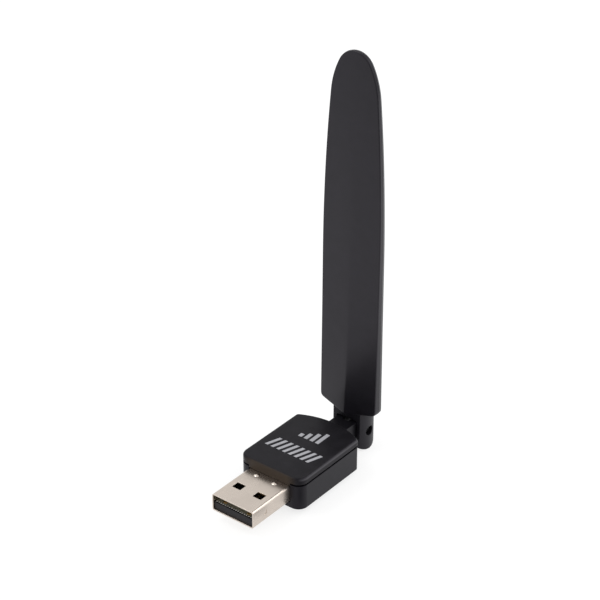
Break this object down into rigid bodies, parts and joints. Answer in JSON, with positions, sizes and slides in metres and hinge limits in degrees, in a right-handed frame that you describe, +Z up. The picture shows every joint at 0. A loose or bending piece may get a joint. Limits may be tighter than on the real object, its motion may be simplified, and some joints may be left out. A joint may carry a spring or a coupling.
{
  "type": "usb wifi adapter",
  "caption": "USB-A plug on a flat black housing, with a turning knuckle and a folding blade antenna.",
  "frame": {"origin": "where the USB plug's axis meets the housing's front face", "axes": "-Y along the plug, the way it goes in; +X across the housing's width; +Z up, along the antenna as it stands at rest"},
  "size_m": [0.0182, 0.0481, 0.101],
  "materials": {
    "black_housing": "matte, fine spark-eroded texture",
    "black_blade": "matte, fine texture",
    "black_hinge": "matte",
    "silver_ink": "silver-grey printed ink",
    "plug_steel": "brushed, nickel plated",
    "black_insulator": "matte",
    "gold_plate": "gold plated",
    "green_board": "solder mask",
    "chip_black": "moulded",
    "crystal_can": "plain can",
    "ferrite_grey": "ferrite",
    "capacitor_tan": "ceramic",
    "resistor_black": "ceramic",
    "lead_jacket": "black cable jacket",
    "pin_steel": "dark steel",
    "antenna_laminate": "thin laminate",
    "copper_foil": "copper"
  },
  "bodies": {
    "housing": {"bottom_shell": "black_housing", "top_cover": "black_housing", "lid_print": "silver_ink", "usb_shell": "plug_steel", "usb_insulator": "black_insulator", "usb_contact_power": "gold_plate", "usb_contact_data_minus": "gold_plate", "usb_contact_data_plus": "gold_plate", "usb_contact_ground": "gold_plate", "circuit_board": "green_board", "wifi_chip": "chip_black", "crystal": "crystal_can", "power_regulator": "chip_black", "power_inductor": "ferrite_grey", "ceramic_capacitors": "capacitor_tan", "chip_resistors": "resistor_black", "rf_matching_parts": "capacitor_tan", "coax_housing_run": "lead_jacket"},
    "knuckle": {"swivel_knuckle": "black_hinge", "coax_knuckle_run": "lead_jacket", "hinge_pin_left": "pin_steel", "hinge_pin_right": "pin_steel"},
    "antenna": {"antenna_fork": "black_hinge", "antenna_front_shell": "black_blade", "antenna_back_shell": "black_blade", "antenna_board": "antenna_laminate", "dipole_arms": "copper_foil", "coax_antenna_run": "lead_jacket"}
  },
  "joints": [
    {"name": "swivel", "type": "hinge", "parent": "housing", "child": "knuckle", "pos_m": [0, 0.0234, 0], "axis": [0, 1, 0], "range_deg": [-90, 90]},
    {"name": "tilt", "type": "hinge", "parent": "knuckle", "child": "antenna", "pos_m": [0, 0.03228, 0], "axis": [-1, 0, 0], "range_deg": [0, 180]}
  ]
}
